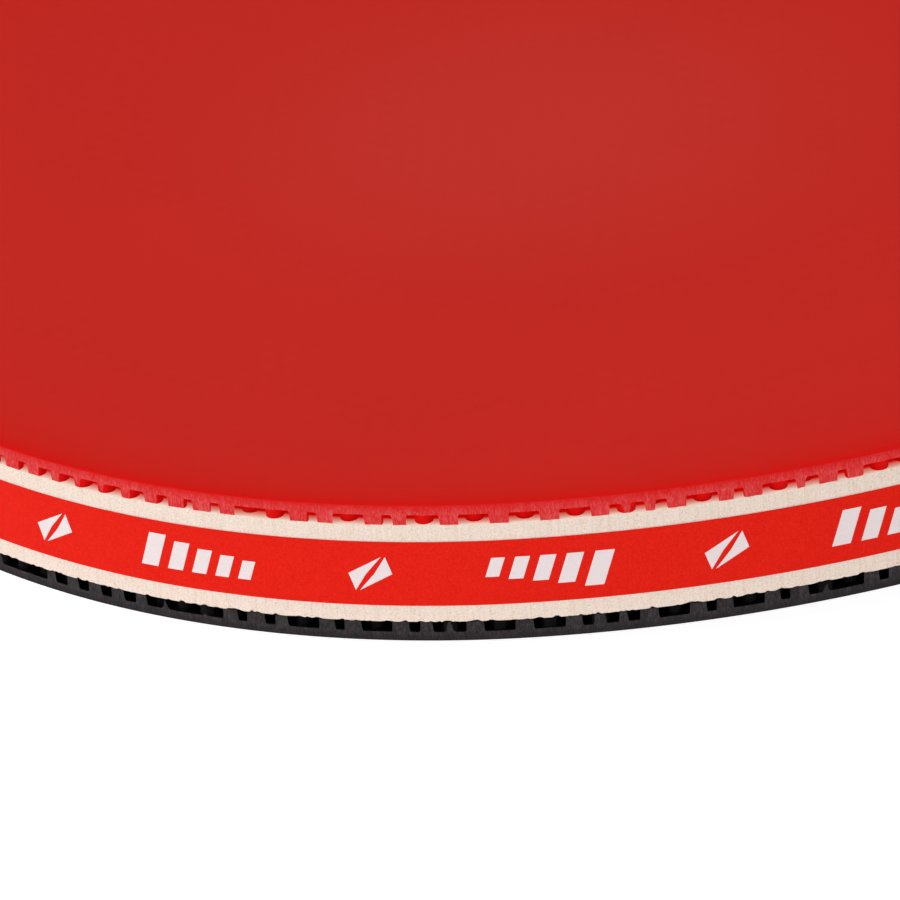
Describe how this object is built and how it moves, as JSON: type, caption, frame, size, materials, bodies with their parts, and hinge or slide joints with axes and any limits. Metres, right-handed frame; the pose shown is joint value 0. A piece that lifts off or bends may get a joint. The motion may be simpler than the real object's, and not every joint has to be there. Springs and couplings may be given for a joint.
{
  "type": "table tennis paddle",
  "caption": "Table tennis paddle with a laminated wooden blade, a red and a black sponge rubber, an edge tape round the rim and a flared grip.",
  "frame": {"origin": "centre of the bounding box, on the blade's middle plane and on the paddle's centre line", "axes": "+Z out of the red face, +X along the handle from the tip to the butt, +Y across the head"},
  "size_m": [0.2572, 0.1502, 0.023],
  "materials": {
    "red_rubber": "smooth satin red rubber",
    "black_rubber": "smooth satin black rubber",
    "sponge_foam": "cream open sponge rubber with a sawn edge",
    "edge_tape_film": "matte red film with white printed marks",
    "outer_ply_wood": "fine straight-grained veneer, sealed",
    "inner_ply_wood": "darker veneer, sanded",
    "core_ply_wood": "light soft wood, sanded",
    "grip_centre_wood": "red-dyed wood, satin sealed",
    "grip_veneer_wood": "pale accent veneer, satin sealed",
    "grip_outer_wood": "brown wood, satin sealed",
    "badge_metal": "satin aluminium badge"
  },
  "bodies": {
    "root": {"outer_ply_red_side": "outer_ply_wood", "inner_ply_red_side": "inner_ply_wood", "core_ply": "core_ply_wood", "inner_ply_black_side": "inner_ply_wood", "outer_ply_black_side": "outer_ply_wood", "red_topsheet": "red_rubber", "red_sponge": "sponge_foam", "black_topsheet": "black_rubber", "black_sponge": "sponge_foam", "edge_tape": "edge_tape_film", "grip_centre_red_side": "grip_centre_wood", "grip_veneer_left_red_side": "grip_veneer_wood", "grip_veneer_right_red_side": "grip_veneer_wood", "grip_outer_left_red_side": "grip_outer_wood", "grip_outer_right_red_side": "grip_outer_wood", "grip_centre_black_side": "grip_centre_wood", "grip_veneer_left_black_side": "grip_veneer_wood", "grip_veneer_right_black_side": "grip_veneer_wood", "grip_outer_left_black_side": "grip_outer_wood", "grip_outer_right_black_side": "grip_outer_wood", "handle_badge": "badge_metal"}
  },
  "joints": []
}
